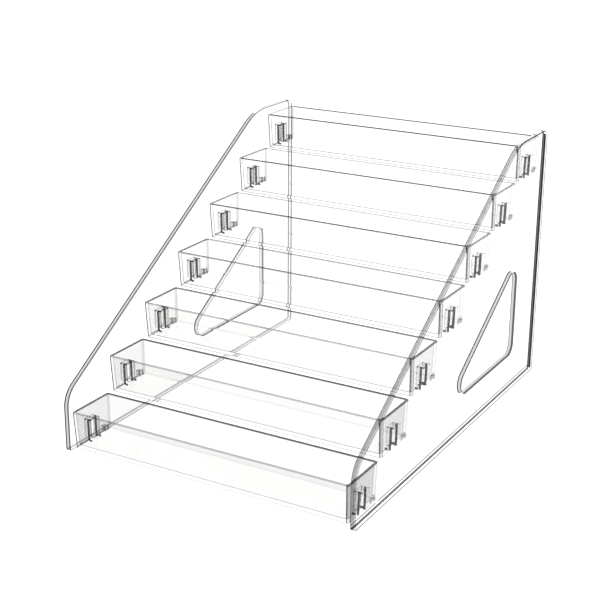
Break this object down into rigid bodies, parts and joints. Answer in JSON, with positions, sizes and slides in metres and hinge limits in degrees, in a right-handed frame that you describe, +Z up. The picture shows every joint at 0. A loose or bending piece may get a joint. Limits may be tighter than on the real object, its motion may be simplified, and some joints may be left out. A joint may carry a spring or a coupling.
{
  "type": "nail polish rack",
  "caption": "Clear stepped display rack: open trays hang by end slots on T-shaped lugs between two sloping side panels, and lift off.",
  "frame": {"origin": "middle of the footprint, on the surface that the rack stands on", "axes": "+X to the right seen from the front, +Y from the low front to the high rear, +Z up"},
  "size_m": [0.223, 0.301, 0.1925],
  "materials": {
    "left_side_panel": "clear polished moulded plastic",
    "right_side_panel": "clear polished moulded plastic",
    "tray_1": "clear polished moulded plastic",
    "tray_2": "clear polished moulded plastic",
    "tray_3": "clear polished moulded plastic",
    "tray_4": "clear polished moulded plastic",
    "tray_5": "clear polished moulded plastic",
    "tray_6": "clear polished moulded plastic",
    "tray_7": "clear polished moulded plastic"
  },
  "bodies": {
    "side_panels": {"left_side_panel": "left_side_panel", "right_side_panel": "right_side_panel"},
    "tray_1_body": {"tray_1": "tray_1"},
    "tray_2_body": {"tray_2": "tray_2"},
    "tray_3_body": {"tray_3": "tray_3"},
    "tray_4_body": {"tray_4": "tray_4"},
    "tray_5_body": {"tray_5": "tray_5"},
    "tray_6_body": {"tray_6": "tray_6"},
    "tray_7_body": {"tray_7": "tray_7"}
  },
  "joints": [
    {"name": "tray_1_lift", "type": "slide", "parent": "side_panels", "child": "tray_1_body", "axis": [0, 0, 1], "range_m": [0, 0.03]},
    {"name": "tray_2_lift", "type": "slide", "parent": "side_panels", "child": "tray_2_body", "axis": [0, 0, 1], "range_m": [0, 0.03]},
    {"name": "tray_3_lift", "type": "slide", "parent": "side_panels", "child": "tray_3_body", "axis": [0, 0, 1], "range_m": [0, 0.03]},
    {"name": "tray_4_lift", "type": "slide", "parent": "side_panels", "child": "tray_4_body", "axis": [0, 0, 1], "range_m": [0, 0.03]},
    {"name": "tray_5_lift", "type": "slide", "parent": "side_panels", "child": "tray_5_body", "axis": [0, 0, 1], "range_m": [0, 0.03]},
    {"name": "tray_6_lift", "type": "slide", "parent": "side_panels", "child": "tray_6_body", "axis": [0, 0, 1], "range_m": [0, 0.03]},
    {"name": "tray_7_lift", "type": "slide", "parent": "side_panels", "child": "tray_7_body", "axis": [0, 0, 1], "range_m": [0, 0.03]}
  ]
}
